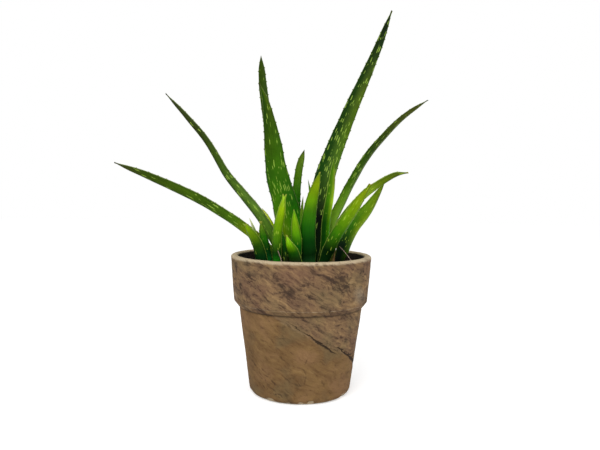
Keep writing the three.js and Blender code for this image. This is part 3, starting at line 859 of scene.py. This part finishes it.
dried_skin, tree = new_material("withered_leaf_skin")
place = add(tree, "Attribute", take="Vector", attribute_name="leaf_place")
combed = add(tree, "VectorMath", {0: place, 1: (1, 0.08, 1)}, operation="MULTIPLY")
wrinkles = add(tree, "TexNoise", {"Vector": combed, "Scale": 1 / (0.7 * mm), "Detail": 4, "Roughness": 0.65})
colour = add(tree, "ValToRGB", {"Fac": wrinkles}, "Color", stops=[
    (0.3, "#3b2a16"), (0.5, "#6f5530"), (0.7, "#a68a5a"),
])
bump = add(tree, "Bump", {"Height": wrinkles, "Strength": 0.8, "Distance": 0.5 * mm})
surface = add(tree, "BsdfPrincipled", {
    "Base Color": colour, "Roughness": 0.85, "Specular IOR Level": 0.2, "Normal": bump,
})
add(tree, "OutputMaterial", {"Surface": surface})
leaf("dried_leaf", dried_skin, "dried_leaf", ("#6f5530 #6f5530", "", 0.0, None), 0.3 * mm)

straw_radius = 0.6 * mm
straw_sag = 1.2 * mm
straw_steps = 14
straw_skin, tree = new_material("dry_straw")
place = add(tree, "TexCoord", take="Object")
fibres = add(tree, "TexNoise", {"Vector": place, "Scale": 1 / (0.8 * mm), "Detail": 3})
colour = add(tree, "ValToRGB", {"Fac": fibres}, "Color", stops=[
    (0.35, "#6a5244"), (0.5, "#8d7468"), (0.66, "#ab9486"),
])
bump = add(tree, "Bump", {"Height": fibres, "Strength": 0.5, "Distance": 0.2 * mm})
surface = add(tree, "BsdfPrincipled", {"Base Color": colour, "Roughness": 0.7, "Normal": bump})
add(tree, "OutputMaterial", {"Surface": surface})

for name in ("dry_straw_right", "dry_straw_left"):
    low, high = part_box(name)
    inset = Vector((straw_radius, straw_radius, straw_radius))
    low, high = low + inset, high - inset
    top = Vector((low.x, high.y, high.z))
    foot = Vector((high.x, low.y, low.z))
    lean = (foot - top).normalized()
    straw_bm = bmesh.new()
    upright = lean.to_track_quat("Z", "Y").to_matrix().to_4x4()
    ring = bmesh.ops.create_circle(
        straw_bm, cap_ends=True, segments=10, radius=straw_radius * 0.5,
        matrix=Matrix.Translation(top) @ upright,
    )
    face = straw_bm.faces[:]
    for step in range(1, straw_steps + 1):
        share = step / straw_steps
        grown = bmesh.ops.extrude_face_region(straw_bm, geom=face)
        verts = [g for g in grown["geom"] if isinstance(g, bmesh.types.BMVert)]
        bmesh.ops.delete(straw_bm, geom=face, context="FACES_ONLY")
        face = [g for g in grown["geom"] if isinstance(g, bmesh.types.BMFace)]
        middle = sum((v.co for v in verts), Vector()) / len(verts)
        target = top.lerp(foot, share) + Vector((0, 0, straw_sag * math.sin(share * math.pi)))
        width = 1.0 if step % 5 else 1.25
        spread = 1.0 if step > 1 else 2.0
        bmesh.ops.translate(straw_bm, verts=verts, vec=target - middle)
        for vert in verts:
            outward = vert.co - target
            vert.co = target + outward.normalized() * straw_radius * 0.6 * width
    bmesh.ops.recalc_face_normals(straw_bm, faces=straw_bm.faces)
    finished(name + "_stalk", straw_bm, straw_skin, "straw", name)

# ----------------------------------------------------------------------------------------------------------
# Studio: a white sweep, an even white surround, a broad soft lamp above the front and the camera.
# ----------------------------------------------------------------------------------------------------------

scene = bpy.context.scene
scene.view_settings.view_transform = "Standard"

floor_half = 3.0
floor_bm = bmesh.new()
bmesh.ops.create_grid(floor_bm, x_segments=1, y_segments=1, size=floor_half)
floor_mesh = bpy.data.meshes.new("studio_floor")
floor_bm.to_mesh(floor_mesh)
floor_bm.free()
sweep, tree = new_material("white_sweep")
seen = add(tree, "LightPath", take="Is Camera Ray")
paper = add(tree, "BsdfDiffuse", {"Color": (0.8, 0.8, 0.8, 1)})
lift = add(tree, "Math", {0: seen, 1: 0.42}, operation="MULTIPLY")
glow = add(tree, "Emission", {"Strength": lift})
surface = add(tree, "AddShader", {0: paper, 1: glow})
add(tree, "OutputMaterial", {"Surface": surface})
floor_mesh.materials.append(sweep)
floor = bpy.data.objects.new("studio_floor", floor_mesh)
scene.collection.objects.link(floor)

world = bpy.data.worlds.new("white_studio")
scene.world = world
world.use_nodes = True
tree = world.node_tree
tree.nodes.clear()
seen = add(tree, "LightPath", take="Is Camera Ray")
strength = add(tree, "MapRange", {"Value": seen, "To Min": 0.72, "To Max": 1.0})
surround = add(tree, "Background", {"Color": (1, 1, 1, 1), "Strength": strength})
add(tree, "OutputWorld", {"Surface": surround})

lamps = {
    "key": ((-0.5, -1.1, 1.3), 1.0, 14),
    "fill": ((0.9, -0.9, 0.7), 1.0, 5),
}
for name, (spot, size, power) in lamps.items():
    light = bpy.data.lights.new(name, "AREA")
    light.size = size
    light.energy = power
    lamp = bpy.data.objects.new(name, light)
    lamp.location = spot
    aim = Vector((0, 0, 0.18)) - Vector(spot)
    lamp.rotation_euler = aim.to_track_quat("-Z", "Y").to_euler()
    scene.collection.objects.link(lamp)

camera_data = bpy.data.cameras.new("camera")
camera_data.lens = 36
camera_data.sensor_width = 36
camera = bpy.data.objects.new("camera", camera_data)
pitch, roll, yaw = 0.0598, 0.0135, 0.0028
camera.matrix_world = (
    Matrix.Translation((0, -0.600, 0.2024)) @ Matrix.Rotation(yaw, 4, "Z")
    @ Matrix.Rotation(math.pi / 2 - pitch, 4, "X") @ Matrix.Rotation(roll, 4, "Z")
)
scene.collection.objects.link(camera)
scene.camera = camera
